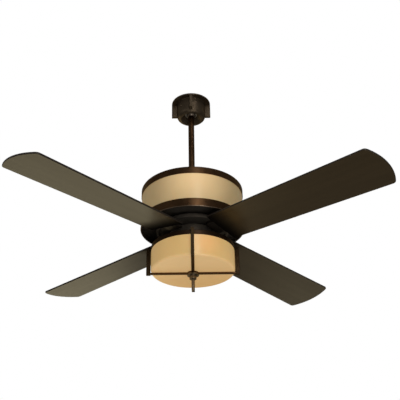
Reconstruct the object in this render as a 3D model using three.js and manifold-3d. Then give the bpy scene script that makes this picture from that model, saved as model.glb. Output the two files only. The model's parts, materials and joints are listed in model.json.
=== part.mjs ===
// A downrod ceiling fan with an uplight drum above its four blades and a caged glass light kit below them.
// Millimetres, +Z up. The origin is the centre of the hanger bracket's flat top face, against the ceiling.
// Below the ceiling everything hangs in one group whose z = 0 is the plane of the blades.
import * as THREE from "three";
import { mergeVertices } from "three/addons/utils/BufferGeometryUtils.js";
import Module from "manifold-3d";

const gap = 0.3; // between pieces that touch
const largeSides = 36; // facets round the drum and the light kit
const middleSides = 24; // round the motor and the hub's small turnings
const smallSides = 12; // round pins, screws and bulbs
const shaftSides = 16; // round the shaft and the bores that turn on it

// Whole fan
const sweepRadius = 711;
const bladeDrop = 545;
const postWidth = 10.5;
const postAngles = [0, 90, 180, 270];

// Canopy, bracket and hanger ball, with z measured down from the ceiling
const canopyDepth = 65;
const canopyRound = 15;
const canopyRadius = 51.5;
const canopyFlangeRadius = 70;
const canopyFlangeDepth = 5;
const canopyWall = 2;
const canopyHoleRadius = 21;
const canopyDish = 15;
const finBottom = -56.5;
const bracketWidth = 36;
const bracketHalfLength = 43;
const bracketPlate = 3;
const bracketAngle = 45;
const ceilingHoleSpacing = 52;
const ballRadius = 20;
const ballCentre = -38;

// Downrod and coupling
const rodRadius = 10.65;
const rodWall = 2;
const cableRadius = 2.3;
const pinRadius = 3;
const couplingRadius = 17;

// Drum: top ring, glass band and lower pan
const drumRadius = 173;
const drumWall = 2;
const drumTop = 171;
const topRingBottom = 147;
const lowerPanTop = 55;
const lowerPanFloor = 46;
const drumBottom = 26;
const upperGlassRadius = 170.4;
const glassThickness = 3.5;
const uplightCount = 3;
const firstUplight = 270;
const uplightCircle = 122;
const tieRodCircle = 152;

// Motor
const shaftRadius = 7.2;
const shaftBore = 4.5;
const rotorRadius = 80;
const rotorWall = 3;
const rotorSplit = 67.15;
const rotorTop = 105;
const bearingRadius = 16;
const bearingWidth = 9;
const statorRadius = 58;
const slotCount = 12;
const hubRadius = 120;
const hubBottom = 17;

// Blades
const bladeCount = 4;
const firstBlade = -41.6;
const bladePitch = -10.4;
const bladeDroop = 1.2;
const bladeThickness = 6;
const bladeRoot = 122;
const rootHalfWidth = 70.2;
const tipHalfWidth = 84.6;
const tipSag = 22;
const tipCorner = 8;
const armInner = 84;
const armOuter = 214;
const armHalfWidth = 30;
const armThickness = 4;

// Light kit
const neckRadius = 76;
const neckTop = 15;
const panTop = -38;
const panBottom = -53.7;
const panRadius = 137.6;
const lowerGlassRadius = 137;
const lowerGlassBottom = -126.5;
const postInner = 138.2;
const postOuter = 152;
const postTop = -37.5;
const postBottom = -134;
const strapThickness = 5;
const cupRadius = 19.5;
const collarRadius = 11.5;
const finialRadius = 5;
const finialBottom = -190;

const bronze = { color: 0x3a2c1f, roughness: 0.45, metalness: 0.8 };
const walnut = { color: 0x4a3a28, roughness: 0.5, metalness: 0 };
const creamGlass = { color: 0xe2c38f, roughness: 0.4, metalness: 0 };
const steel = { color: 0xb4b4b0, roughness: 0.35, metalness: 0.9 };
const castAlloy = { color: 0x6d6c68, roughness: 0.6, metalness: 0.7 };
const copper = { color: 0xa5592c, roughness: 0.4, metalness: 0.8 };
const lamination = { color: 0x55585c, roughness: 0.5, metalness: 0.7 };
const porcelain = { color: 0xe9e6dd, roughness: 0.35, metalness: 0 };
const bulbGlass = { color: 0xfff2d8, roughness: 0.2, metalness: 0 };
const blackPlastic = { color: 0x1b1b1b, roughness: 0.5, metalness: 0 };

const wasm = await Module();
wasm.setup();

const radians = THREE.MathUtils.degToRad;

// ---- shapes ----

function toSolid(geometry) {
  const plain = geometry.clone();
  plain.deleteAttribute("normal");
  plain.deleteAttribute("uv");
  const merged = mergeVertices(plain, 1e-3);
  return new wasm.Manifold(
    new wasm.Mesh({
      numProp: 3,
      vertProperties: merged.attributes.position.array,
      triVerts: new Uint32Array(merged.index.array),
    }),
  );
}

function toGeometry(solid) {
  const mesh = solid.getMesh();
  const geometry = new THREE.BufferGeometry();
  geometry.setAttribute("position", new THREE.BufferAttribute(mesh.vertProperties, 3));
  geometry.setIndex(new THREE.BufferAttribute(mesh.triVerts, 1));
  geometry.computeVertexNormals();
  return geometry;
}

function join(...geometries) {
  const solids = geometries.map(toSolid);
  return toGeometry(solids.reduce((whole, next) => whole.add(next)));
}

function cut(body, ...tools) {
  return toGeometry(tools.map(toSolid).reduce((rest, tool) => rest.subtract(tool), toSolid(body)));
}

// A shape turned about Z from [radius, z] points that go up the outside and down the inside.
function turned(points, sides) {
  const profile = points.map(([radius, z]) => new THREE.Vector2(radius, z));
  return new THREE.LatheGeometry(profile, sides).rotateX(Math.PI / 2);
}

function turnedRing(points, sides) {
  return turned([...points, points[0]], sides);
}

function tube(outer, inner, bottom, top, sides) {
  return turnedRing([[inner, bottom], [outer, bottom], [outer, top], [inner, top]], sides);
}

function rod(radius, bottom, top, sides) {
  return turned([[0, bottom], [radius, bottom], [radius, top], [0, top]], sides);
}

function block(xMin, xMax, yMin, yMax, zMin, zMax) {
  const box = new THREE.BoxGeometry(xMax - xMin, yMax - yMin, zMax - zMin);
  return box.translate((xMin + xMax) / 2, (yMin + yMax) / 2, (zMin + zMax) / 2);
}

// A shape made along +Z from the origin, laid along +X at height z.
function layAlongX(geometry, z) {
  return geometry.rotateY(Math.PI / 2).translate(0, 0, z);
}

function strut(start, end, radius, sides) {
  const from = new THREE.Vector3(...start);
  const along = new THREE.Vector3(...end).sub(from);
  const turn = new THREE.Quaternion();
  turn.setFromUnitVectors(new THREE.Vector3(0, 0, 1), along.clone().normalize());
  return rod(radius, 0, along.length(), sides).applyQuaternion(turn).translate(...start);
}

// Points of a round arc in a turned profile, from one angle to the other in degrees.
function arc(centreRadius, centreZ, radius, from, to, steps) {
  const points = [];
  for (let i = 0; i <= steps; i += 1) {
    const angle = radians(from + ((to - from) * i) / steps);
    points.push([centreRadius + radius * Math.cos(angle), centreZ + radius * Math.sin(angle)]);
  }
  return points;
}

// ---- assembly ----

const fan = new THREE.Group();
const hanging = new THREE.Group();
hanging.position.z = -bladeDrop;
fan.add(hanging);

function place(group, name, geometry, finish) {
  const mesh = new THREE.Mesh(geometry, new THREE.MeshStandardMaterial(finish));
  mesh.name = name;
  group.add(mesh);
}

function turnedGroup(parent, degrees) {
  const group = new THREE.Group();
  group.rotation.z = radians(degrees);
  parent.add(group);
  return group;
}

// ---- ceiling side: bracket, canopy, hanger ball ----

const seatTop = ballCentre - 4.5;
const seatBottom = ballCentre - 9.3;
const seatClearance = 0.6;
const seatMargin = 6;
const bracketRound = 45;
const canopyScrewZ = -30;
const screwHoleRadius = 2.4;
const holeReach = 60; // half the length of a tool that cuts two holes in line

// A strap with two legs that hold a ring plate, whose round seat carries the ball.
function hangerBracket() {
  const half = bracketWidth / 2;
  const outer = bracketHalfLength;
  const inner = outer - bracketPlate;
  const strap = block(-outer, outer, -half, half, -bracketPlate, 0);
  const legs = [-1, 1].map((side) =>
    block(
      Math.min(side * inner, side * outer), Math.max(side * inner, side * outer),
      -half, half, seatBottom, -bracketPlate / 2,
    ),
  );
  const plateHalf = half + seatMargin;
  const seatPlate = block(-outer, outer, -plateHalf, plateHalf, seatBottom, seatTop);
  const seat = new THREE.SphereGeometry(ballRadius + seatClearance, middleSides, smallSides);
  seat.rotateX(Math.PI / 2).translate(0, 0, ballCentre);
  const throat = rod(ballRadius - 3, seatBottom - 1, seatTop + 1, middleSides);
  const round = rod(bracketRound, seatBottom - 1, 1, largeSides);
  const ceilingHoles = [-0.5, 0.5].map((side) =>
    rod(screwHoleRadius, -bracketPlate - 1, 1, smallSides).translate(side * ceilingHoleSpacing, 0, 0),
  );
  const sideHoles = layAlongX(rod(screwHoleRadius, -holeReach, holeReach, smallSides), canopyScrewZ);
  const body = cut(join(strap, ...legs, seatPlate), seat, throat);
  const trimmed = toGeometry(toSolid(body).intersect(toSolid(round)));
  return cut(trimmed, ...ceilingHoles, sideHoles);
}

// An open-topped bowl with a wide flange against the ceiling, four square fins, and a floor dished
// up to the mouth round the ball.
function canopy() {
  const inner = canopyRadius - canopyWall;
  const roundRadius = canopyRadius - canopyRound;
  const roundZ = canopyRound - canopyDepth;
  const mouthZ = canopyDish - canopyDepth;
  const shell = turnedRing(
    [
      [canopyHoleRadius, mouthZ],
      ...arc(roundRadius, roundZ, canopyRound, -90, 0, 5),
      [canopyRadius, -canopyFlangeDepth],
      [canopyFlangeRadius - 1, -canopyFlangeDepth],
      [canopyFlangeRadius, 1 - canopyFlangeDepth],
      [canopyFlangeRadius, 0],
      [inner, 0],
      ...arc(roundRadius, roundZ, canopyRound - canopyWall, 0, -90, 4),
      [canopyHoleRadius, mouthZ + canopyWall],
    ],
    largeSides,
  );
  const half = postWidth / 2;
  const fins = postAngles.map((angle) =>
    block(inner + 1, canopyFlangeRadius, -half, half, finBottom, -canopyFlangeDepth / 2)
      .rotateZ(radians(angle)),
  );
  const screwHoles = layAlongX(rod(screwHoleRadius, -holeReach, holeReach, smallSides), canopyScrewZ);
  return cut(join(shell, ...fins), screwHoles.rotateZ(radians(bracketAngle)));
}

const screwRadius = 2;

// A screw made along +Z: a plain shank from its tip, and a round head on a flat seat.
function screw(tip, seat, headRadius, headHeight) {
  const shank = rod(screwRadius, tip, seat + 1, smallSides);
  const top = seat + headHeight;
  const head = turned(
    [
      [0, seat],
      [headRadius, seat],
      [0.88 * headRadius, seat + 0.6 * headHeight],
      [0.5 * headRadius, top],
      [0, top],
    ],
    shaftSides,
  );
  return join(shank, head);
}

const canopyScrew = () =>
  layAlongX(screw(bracketHalfLength - 8, canopyRadius + gap, 4, 2.4), canopyScrewZ);

const rodFit = 0.35; // between the pipe and what it slides into
const ballBore = rodRadius + rodFit;
const ballPinRadius = 2.5;
const ballPinHalf = 15;

function hangerBall() {
  const poleAngle = THREE.MathUtils.radToDeg(Math.acos(ballBore / ballRadius));
  const outside = arc(0, ballCentre, ballRadius, -poleAngle, poleAngle, 10);
  const pinHole = layAlongX(rod(ballPinRadius + gap, -holeReach, holeReach, shaftSides), ballCentre);
  return cut(turnedRing(outside, middleSides), pinHole);
}

const ballPin = layAlongX(rod(ballPinRadius, -ballPinHalf, ballPinHalf, shaftSides), ballCentre);

place(turnedGroup(fan, bracketAngle), "hanger_bracket", hangerBracket(), steel);
place(fan, "canopy", canopy(), bronze);
place(turnedGroup(fan, bracketAngle), "canopy_screw_left", canopyScrew(), bronze);
place(turnedGroup(fan, bracketAngle + 180), "canopy_screw_right", canopyScrew(), bronze);
place(fan, "hanger_ball", hangerBall(), castAlloy);
place(fan, "ball_pin", ballPin, steel);

// ---- downrod, cable and coupling ----

const rodTop = bladeDrop - 25;
const rodBottom = drumTop + gap;
const ballPinZ = bladeDrop + ballCentre;
const couplingTop = 205;
const couplingBottom = 130;
const couplingPinZ = 190;
const couplingFlangeTop = 165.4;
const couplingFlange = 6.4;
const couplingFlangeRadius = 40;
const couplingPinHalf = 22;
const cableBeside = 5.7;
const cableBend = 184;

function downrod() {
  const pipe = tube(rodRadius, rodRadius - rodWall, rodBottom, rodTop, middleSides);
  const upperHole = layAlongX(rod(ballPinRadius + gap, -holeReach, holeReach, shaftSides), ballPinZ);
  const lowerHole = layAlongX(rod(pinRadius + gap, -holeReach, holeReach, shaftSides), couplingPinZ);
  return cut(pipe, upperHole, lowerHole);
}

// Runs beside the pins in the pipe, then down the middle of the hollow shaft.
function supplyCable() {
  const foot = drumTop;
  return join(
    rod(cableRadius, cableBend - 4, bladeDrop - 12, smallSides).translate(0, cableBeside, 0),
    strut([0, cableBeside, cableBend], [0, 0, foot], cableRadius, smallSides),
    rod(cableRadius, panTop + 10, foot + 3, smallSides),
  );
}

// A cast socket: the shaft screws in from below, the pipe from above, and the flange carries the drum.
function motorCoupling() {
  const body = turnedRing(
    [
      [shaftRadius + gap, couplingBottom],
      [couplingRadius, couplingBottom],
      [couplingRadius, couplingFlangeTop - couplingFlange],
      [couplingFlangeRadius, couplingFlangeTop - couplingFlange],
      [couplingFlangeRadius, couplingFlangeTop],
      [couplingRadius, couplingFlangeTop],
      [couplingRadius, couplingTop],
      [rodRadius + rodFit, couplingTop],
      [rodRadius + rodFit, drumTop],
      [shaftBore + 0.5, drumTop],
      [shaftBore + 0.5, couplingFlangeTop + 0.6],
      [shaftRadius + gap, couplingFlangeTop + 0.6],
    ],
    middleSides,
  );
  const relief = strut([0, cableBeside, cableBend], [0, 0, drumTop - 1], shaftBore + 0.2, shaftSides);
  const pinHole = layAlongX(rod(pinRadius + gap, -holeReach, holeReach, shaftSides), couplingPinZ);
  return cut(body, pinHole, relief);
}

const coverRadius = 42;
const coverMouth = rodRadius + 1.5;
const coverSheet = 2;
const coverShoulder = 6;
const coverRise = 40;

// A domed bell over the coupling, standing on the drum.
function couplingCover() {
  const shoulder = drumTop + coverShoulder;
  const dome = (offset) => {
    const points = [];
    for (let step = 0; step <= 4; step += 1) {
      const angle = (step * Math.PI) / 8;
      const spread = (coverRadius - coverMouth - offset) * Math.cos(angle);
      points.push([coverMouth + spread, shoulder + (coverRise - offset) * Math.sin(angle)]);
    }
    return points;
  };
  const foot = drumTop + gap;
  const outside = [[coverRadius, foot], ...dome(0)];
  const inside = [...dome(coverSheet).reverse(), [coverRadius - coverSheet, foot]];
  return turnedRing([...outside, ...inside], middleSides);
}

const couplingPin = layAlongX(
  rod(pinRadius, -couplingPinHalf, couplingPinHalf, shaftSides),
  couplingPinZ,
);
const motorShaft = tube(shaftRadius, shaftBore, 4, couplingFlangeTop + gap, shaftSides);

place(hanging, "downrod", downrod(), bronze);
place(hanging, "supply_cable", supplyCable(), blackPlastic);
place(hanging, "motor_coupling", motorCoupling(), castAlloy);
place(hanging, "coupling_pin", couplingPin, steel);
place(hanging, "coupling_cover", couplingCover(), bronze);
place(hanging, "motor_shaft", motorShaft, steel);

// ---- drum and uplights ----

const topPlateBottom = couplingFlangeTop + gap;
const topPlateTop = topPlateBottom + 3;
const topRingWidth = 22;
const ringInner = drumRadius - drumWall;

const topPlate = tube(ringInner - gap, couplingRadius + 1, topPlateBottom, topPlateTop, largeSides);

const topRing = turnedRing(
  [
    [ringInner, topRingBottom],
    [drumRadius, topRingBottom],
    [drumRadius, drumTop - 1],
    [drumRadius - 1, drumTop],
    [drumRadius - topRingWidth, drumTop],
    [drumRadius - topRingWidth, topPlateTop + gap],
    [ringInner, topPlateTop + gap],
  ],
  largeSides,
);

const lowerPanSheet = 3;
const lowerPanHole = rotorRadius + 6;
const upperGlass = tube(
  upperGlassRadius, upperGlassRadius - glassThickness,
  lowerPanFloor + lowerPanSheet + gap, topRingBottom + 6, largeSides,
);

// The outside wall ends in a rolled lip, and the floor closes the light chamber round the motor.
const lowerPan = turnedRing(
  [
    [lowerPanHole, lowerPanFloor],
    [ringInner, lowerPanFloor],
    [ringInner, drumBottom + 3],
    [ringInner - 1, drumBottom + 2],
    [ringInner - 1, drumBottom],
    [drumRadius + 1, drumBottom],
    [drumRadius + 1, drumBottom + 2],
    [drumRadius, drumBottom + 3],
    [drumRadius, lowerPanTop],
    [ringInner, lowerPanTop],
    [ringInner, lowerPanFloor + lowerPanSheet],
    [lowerPanHole, lowerPanFloor + lowerPanSheet],
  ],
  largeSides,
);

const chamberBottom = lowerPanFloor + lowerPanSheet + gap;

const tieRodRadius = 2.5;
const tieRod = () => rod(tieRodRadius, chamberBottom, topPlateBottom - gap, smallSides);

const uplightCap = 10;
const uplightCapBottom = 63;
const uplightSocketRadius = 13;
const uplightSocketTop = 80;

function uplightSocket() {
  const bore = uplightCap + 0.6;
  const floor = uplightCapBottom - 1;
  return turned(
    [
      [0, chamberBottom],
      [uplightSocketRadius, chamberBottom],
      [uplightSocketRadius, uplightSocketTop],
      [bore, uplightSocketTop],
      [bore, floor],
      [0, floor],
    ],
    shaftSides,
  );
}

// A candle-shaped lamp on its cap.
const uplightBulb = () =>
  turned(
    [
      [0, uplightCapBottom],
      [uplightCap, uplightCapBottom],
      [uplightCap, 82],
      [14.5, 90],
      [16, 99],
      [14.5, 109],
      [10, 121],
      [4.5, 132],
      [0, 138],
    ],
    smallSides,
  );

place(hanging, "top_plate", topPlate, castAlloy);
place(hanging, "top_ring", topRing, bronze);
place(hanging, "upper_glass", upperGlass, creamGlass);
place(hanging, "lower_pan", lowerPan, bronze);
for (let i = 0; i < uplightCount; i += 1) {
  const socketAngle = firstUplight + (360 * i) / uplightCount;
  const socketSpot = turnedGroup(hanging, socketAngle);
  place(socketSpot, `uplight_socket_${i + 1}`, uplightSocket().translate(uplightCircle, 0, 0), porcelain);
  place(socketSpot, `uplight_bulb_${i + 1}`, uplightBulb().translate(uplightCircle, 0, 0), bulbGlass);
  const rodSpot = turnedGroup(hanging, socketAngle + 180 / uplightCount);
  place(rodSpot, `tie_rod_${i + 1}`, tieRod().translate(tieRodCircle, 0, 0), steel);
}

// ---- motor ----

const hubTop = 29;
const bearingPocket = bearingRadius + 0.4;
const pocketWall = 4.6;
const pocketDepth = 12.7;
const bellFloor = 2.5;
const bellEnd = 4;
const shaftClearance = 10;

// Half of the rotor's shell: a flat end with a bearing pocket, and a wall. z runs from the end inwards.
function rotorBell(height) {
  return turnedRing(
    [
      [shaftClearance, 0],
      [rotorRadius - 3, 0],
      [rotorRadius, 3],
      [rotorRadius, height],
      [rotorRadius - rotorWall, height],
      [rotorRadius - rotorWall, bellEnd],
      [bearingPocket + pocketWall, bellEnd],
      [bearingPocket + pocketWall, pocketDepth],
      [bearingPocket, pocketDepth],
      [bearingPocket, bellFloor],
      [shaftClearance, bellFloor],
    ],
    middleSides,
  );
}

const bearing = (bottom) =>
  tube(bearingRadius, shaftRadius + gap, bottom, bottom + bearingWidth, middleSides);

const lowerBellBottom = hubTop + gap;
const lowerBell = rotorBell(rotorSplit - gap / 2 - lowerBellBottom).translate(0, 0, lowerBellBottom);
const upperBell = rotorBell(rotorTop - rotorSplit - gap / 2).rotateX(Math.PI).translate(0, 0, rotorTop);
const bearingSeat = bellFloor + gap;

const statorBottom = 54;
const statorTop = 80;
const slotWidth = 9;
const slotFloor = 36;
const windingInner = slotFloor + 1;
const windingOuter = 53;
const endTurns = 8;

function aroundStator(shape) {
  const copies = [];
  for (let i = 0; i < slotCount; i += 1) {
    copies.push(shape().rotateZ(radians((360 * i) / slotCount)));
  }
  return copies;
}

function statorCore() {
  const core = tube(statorRadius, shaftRadius + gap, statorBottom, statorTop, middleSides);
  const slot = () => block(
    slotFloor, statorRadius + 10, -slotWidth / 2, slotWidth / 2, statorBottom - 1, statorTop + 1,
  );
  return cut(core, ...aroundStator(slot));
}

// End turns above and below the core, joined by the runs that fill its slots.
function statorWindings() {
  const half = slotWidth / 2 - 0.4;
  const run = () => block(windingInner, windingOuter, -half, half, statorBottom - 2, statorTop + 2);
  const turns = (bottom, top) => tube(windingOuter, windingInner, bottom, top, middleSides);
  const lowerTurns = turns(statorBottom - endTurns, statorBottom - 0.5);
  const upperTurns = turns(statorTop + 0.5, statorTop + endTurns);
  return join(lowerTurns, upperTurns, ...aroundStator(run));
}

const rotorRingOuter = rotorRadius - rotorWall - 0.5;
const rotorCageRing = tube(rotorRingOuter, statorRadius + 1, statorBottom - 2, statorTop + 2, middleSides);

// The disc that carries the blade arms: a thin web with a boss at its centre and a deep rim.
const hubWeb = 6;
const hubRimWidth = 8;
const hubBossRadius = 40;
const bladeHub = turnedRing(
  [
    [shaftClearance, hubBottom],
    [hubBossRadius, hubBottom],
    [hubBossRadius, hubTop - hubWeb],
    [hubRadius - hubRimWidth, hubTop - hubWeb],
    [hubRadius - hubRimWidth, hubBottom],
    [hubRadius - 1, hubBottom],
    [hubRadius, hubBottom + 1],
    [hubRadius, hubTop - 2],
    [hubRadius - 2, hubTop],
    [shaftClearance, hubTop],
  ],
  largeSides,
);

place(hanging, "stator_core", statorCore(), lamination);
place(hanging, "stator_windings", statorWindings(), copper);
place(hanging, "rotor_cage_ring", rotorCageRing, lamination);
place(hanging, "rotor_top_bell", upperBell, castAlloy);
place(hanging, "rotor_bottom_bell", lowerBell, castAlloy);
place(hanging, "upper_bearing", bearing(rotorTop - bearingSeat - bearingWidth), steel);
place(hanging, "lower_bearing", bearing(lowerBellBottom + bearingSeat), steel);
place(hanging, "blade_hub", bladeHub, bronze);

// ---- blades and arms, made along +X, then pitched and drooped ----

const armScrewX = 168;
const bladeScrewTip = -2;
const footHalfWidth = 22;
const footBottom = -10;

function tilt(geometry) {
  return geometry.rotateX(radians(bladePitch)).rotateY(radians(bladeDroop));
}

// A plank that widens from a square root to a tip struck as one shallow arc.
function blade() {
  const cornerX = sweepRadius - tipSag;
  const tipRadius = (tipSag ** 2 + tipHalfWidth ** 2) / (2 * tipSag);
  const tipCentre = sweepRadius - tipRadius;
  const sweep = Math.asin((tipHalfWidth - tipCorner) / tipRadius);
  const outline = new THREE.Shape();
  outline.moveTo(bladeRoot, -rootHalfWidth);
  outline.lineTo(cornerX - tipCorner, -tipHalfWidth);
  outline.quadraticCurveTo(
    cornerX, -tipHalfWidth,
    tipCentre + tipRadius * Math.cos(sweep), -tipRadius * Math.sin(sweep),
  );
  outline.absarc(tipCentre, 0, tipRadius, -sweep, sweep, false);
  outline.quadraticCurveTo(cornerX, tipHalfWidth, cornerX - tipCorner, tipHalfWidth);
  outline.lineTo(bladeRoot, rootHalfWidth);
  const plank = new THREE.ExtrudeGeometry(outline, {
    depth: bladeThickness,
    bevelEnabled: false,
    curveSegments: 5,
  }).translate(0, 0, -bladeThickness / 2);
  const hole = rod(screwHoleRadius, bladeScrewTip - gap, bladeThickness, smallSides);
  return tilt(cut(plank, hole.translate(armScrewX, 0, 0)));
}

// A plate on top of the blade, with a foot that rises level into the hub.
function bladeArm() {
  const bottom = bladeThickness / 2 + gap;
  const top = bottom + armThickness;
  const plate = block(armInner, armOuter, -armHalfWidth, armHalfWidth, bottom, top);
  const hole = rod(screwHoleRadius, bottom - 1, top + 1, smallSides).translate(armScrewX, 0, 0);
  const under = tilt(block(0, armOuter, -hubRadius, hubRadius, -hubRadius, (bottom + top) / 2));
  const foot = block(
    armInner, hubRadius - hubRimWidth - 3, -footHalfWidth, footHalfWidth,
    footBottom, hubTop - hubWeb - gap,
  );
  return join(tilt(cut(plate, hole)), cut(foot, under));
}

function bladeScrew() {
  const seat = bladeThickness / 2 + armThickness + 2 * gap;
  return tilt(screw(bladeScrewTip, seat, 5, 2.5).translate(armScrewX, 0, 0));
}

for (let i = 0; i < bladeCount; i += 1) {
  const spoke = turnedGroup(hanging, firstBlade + (360 * i) / bladeCount);
  place(spoke, `blade_arm_${i + 1}`, bladeArm(), bronze);
  place(spoke, `blade_${i + 1}`, blade(), walnut);
  place(spoke, `blade_screw_${i + 1}`, bladeScrew(), steel);
}

// ---- light kit ----

const slotBottom = -20;
const slotTop = -4;
const slotHalfWidth = 2.6;
const panSheet = 2;
const studRadius = 3;

// A deep cup hung on the shaft, with a slot at the back for the reversing switch.
function switchHousing() {
  const wall = 3;
  const cup = turnedRing(
    [
      [neckRadius - wall, panTop + gap],
      [neckRadius, panTop + gap],
      [neckRadius, neckTop - 2],
      [neckRadius - 2, neckTop],
      [shaftRadius + gap, neckTop],
      [shaftRadius + gap, neckTop - wall],
      [neckRadius - wall, neckTop - wall],
    ],
    largeSides,
  );
  const slot = block(
    -slotHalfWidth, slotHalfWidth, neckRadius - 10, neckRadius + 10, slotBottom, slotTop,
  );
  return cut(cup, slot);
}

// A thumb stem through the slot, held in by a shutter plate inside the wall. It rests at the slot's foot.
function reversingSwitch() {
  const half = slotHalfWidth - 0.4;
  const stem = block(-half, half, neckRadius - 6, neckRadius + 3.5, slotBottom + 1, slotBottom + 7);
  const shutter = block(-6, 6, neckRadius - 7.5, neckRadius - 4.5, slotBottom - 9, slotTop + 1);
  return join(stem, shutter);
}

// A shallow dish, open side down, that the cage posts are fixed round.
const fitterPan = turnedRing(
  [
    [panRadius - panSheet, panBottom],
    [panRadius, panBottom],
    [panRadius, panTop - 1],
    [panRadius - 1, panTop],
    [studRadius + gap, panTop],
    [studRadius + gap, panTop - panSheet],
    [panRadius - panSheet, panTop - panSheet],
  ],
  largeSides,
);

// A flat-bottomed bowl with rounded lower corners and a hole for the stud.
function lowerGlass() {
  const inner = lowerGlassRadius - glassThickness;
  const corner = 10;
  return turnedRing(
    [
      [studRadius + 2, lowerGlassBottom],
      ...arc(lowerGlassRadius - corner, lowerGlassBottom + corner, corner, -90, 0, 3),
      [lowerGlassRadius, panBottom - gap],
      [inner, panBottom - gap],
      ...arc(
        lowerGlassRadius - corner, lowerGlassBottom + corner, corner - glassThickness, 0, -90, 2,
      ),
      [studRadius + 2, lowerGlassBottom + glassThickness],
    ],
    largeSides,
  );
}

const lampAxis = -88;
const lampAngle = -60;

function lightSocket() {
  const shell = layAlongX(
    turned([[0, 26], [16.5, 26], [16.5, 58], [13.6, 58], [13.6, 35], [0, 35]], shaftSides),
    lampAxis,
  );
  const bracket = block(29, 41, -7, 7, lampAxis + 14, panTop - panSheet - gap);
  return join(shell, bracket);
}

const lightBulb = () =>
  layAlongX(
    turned(
      [
        [0, 36], [13, 36], [13, 60], [17, 68], [22, 78], [24, 89],
        [22.5, 100], [17, 109.5], [8, 115.2], [0, 116.5],
      ],
      shaftSides,
    ),
    lampAxis,
  );

const strapTop = lowerGlassBottom - gap;
const strapBottom = strapTop - strapThickness;

// Four flat straps that meet in a disc under the glass.
function cageCross() {
  const reach = postInner - gap;
  const half = postWidth / 2;
  const centre = rod(cupRadius - 0.5, strapBottom, strapTop, middleSides);
  const along = block(-reach, reach, -half, half, strapBottom, strapTop);
  const across = block(-half, half, -reach, reach, strapBottom, strapTop);
  const hole = rod(studRadius + gap, strapBottom - 1, strapTop + 1, smallSides);
  return cut(join(centre, along, across), hole);
}

const cagePost = () =>
  block(postInner, postOuter, -postWidth / 2, postWidth / 2, postBottom, postTop);

const cupBottom = -137;
const collarBottom = -150;

const finialCup = turnedRing(
  [
    [studRadius + gap, collarBottom],
    [collarRadius - 1, collarBottom],
    [collarRadius, collarBottom + 1],
    [collarRadius, cupBottom],
    [cupRadius - 1, cupBottom],
    [cupRadius, cupBottom + 1],
    [cupRadius, strapBottom - gap],
    [studRadius + gap, strapBottom - gap],
  ],
  middleSides,
);

// A slender knob whose long stud runs up through the cup, the cross and the glass to the pan.
const finial = turned(
  [
    [0, finialBottom],
    [finialRadius - 1.5, finialBottom],
    [finialRadius, finialBottom + 1.5],
    [finialRadius, collarBottom - gap],
    [studRadius, collarBottom - gap],
    [studRadius, panTop + 6],
    [0, panTop + 6],
  ],
  shaftSides,
);

place(hanging, "switch_housing", switchHousing(), bronze);
place(hanging, "reversing_switch", reversingSwitch(), blackPlastic);
place(hanging, "fitter_pan", fitterPan, bronze);
["right", "left"].forEach((side, i) => {
  const lamp = turnedGroup(hanging, lampAngle + 180 * i);
  place(lamp, `light_socket_${side}`, lightSocket(), porcelain);
  place(lamp, `light_bulb_${side}`, lightBulb(), bulbGlass);
});
place(hanging, "lower_glass", lowerGlass(), creamGlass);
["right", "back", "left", "front"].forEach((side, i) => {
  place(turnedGroup(hanging, postAngles[i]), `cage_post_${side}`, cagePost(), bronze);
});
place(hanging, "cage_cross", cageCross(), bronze);
place(hanging, "finial_cup", finialCup, bronze);
place(hanging, "finial", finial, bronze);

export default fan;
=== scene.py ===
"""A ceiling fan with an uplight drum and a caged light bowl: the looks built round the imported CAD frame.

The row frame is in metres: z = 0 is the ceiling, and the fan hangs below it. The sizes of pieces are given in
millimetres, and the mesh tools turn them into metres.
"""
import json
import math

import bmesh
import bpy
from mathutils import Matrix, Vector


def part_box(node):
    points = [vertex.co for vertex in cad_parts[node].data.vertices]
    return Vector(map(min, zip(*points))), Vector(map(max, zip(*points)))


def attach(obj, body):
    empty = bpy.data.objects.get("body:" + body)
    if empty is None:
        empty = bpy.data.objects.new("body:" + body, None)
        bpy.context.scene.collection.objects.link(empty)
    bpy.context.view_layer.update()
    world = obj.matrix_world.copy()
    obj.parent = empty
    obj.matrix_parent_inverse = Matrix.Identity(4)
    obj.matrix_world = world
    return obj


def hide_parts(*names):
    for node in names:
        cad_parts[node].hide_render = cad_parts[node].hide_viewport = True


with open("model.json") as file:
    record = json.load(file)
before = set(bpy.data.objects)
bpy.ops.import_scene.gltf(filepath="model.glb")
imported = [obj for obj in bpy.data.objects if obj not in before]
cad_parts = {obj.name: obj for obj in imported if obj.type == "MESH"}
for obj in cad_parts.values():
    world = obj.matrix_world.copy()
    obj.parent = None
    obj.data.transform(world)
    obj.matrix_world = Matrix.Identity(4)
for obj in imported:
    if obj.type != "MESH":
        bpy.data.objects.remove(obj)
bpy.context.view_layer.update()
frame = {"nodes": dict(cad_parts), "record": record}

scene = bpy.context.scene
MM = 0.001


# ---------------------------------------------------------------- camera, world, lights and floor

def make_camera():
    """A long lens below the fan and in front of it, looking up. The shift keeps the fan off centre."""
    place = (0.0073, -2.0597, -1.5582)
    yaw, pitch, roll = -0.90, 26.84, -0.37
    data = bpy.data.cameras.new("camera")
    data.sensor_width = 36.0
    data.lens = 62.07
    data.shift_x = 0.0375
    data.shift_y = 0.075
    data.clip_end = 100.0
    camera = bpy.data.objects.new("camera", data)
    scene.collection.objects.link(camera)
    turn = Matrix.Rotation(math.radians(-yaw), 4, "Z")
    tip = Matrix.Rotation(math.radians(90 + pitch), 4, "X")
    spin = Matrix.Rotation(math.radians(roll), 4, "Z")
    camera.matrix_world = Matrix.Translation(place) @ turn @ tip @ spin
    scene.camera = camera


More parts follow.
